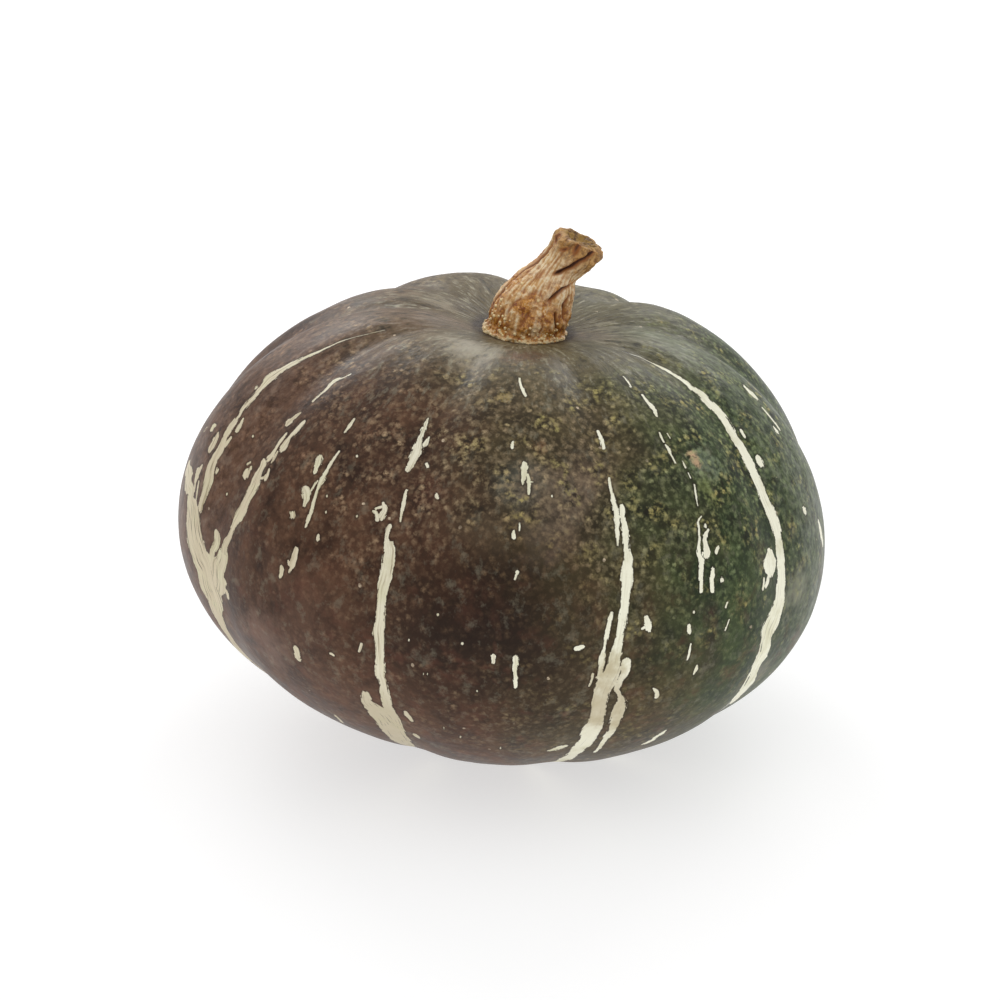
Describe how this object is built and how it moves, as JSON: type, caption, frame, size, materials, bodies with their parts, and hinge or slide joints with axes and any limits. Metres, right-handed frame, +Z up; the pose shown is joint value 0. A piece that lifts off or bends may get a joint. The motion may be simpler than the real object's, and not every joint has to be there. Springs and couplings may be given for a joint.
{
  "type": "kabocha squash",
  "caption": "Ribbed, flattened round squash with dark mottled rind, cream streaks in its valleys and a dry, bent, ridged stem set in a hollow.",
  "frame": {"origin": "centre of the footprint, on the surface that the squash rests on", "axes": "+Z up, -Y towards the viewer of the picture, +X to the viewer's right, which is the side that the stem bends to"},
  "size_m": [0.1702, 0.1682, 0.1367],
  "materials": {
    "waxy_rind": "hard squash rind with a thin wax bloom, dark brown to dark green with cream streaks",
    "dry_cork": "dry corky stem, matte tan ridges with darker brown grooves"
  },
  "bodies": {
    "root": {"fruit": "waxy_rind", "stem": "dry_cork"}
  },
  "joints": []
}
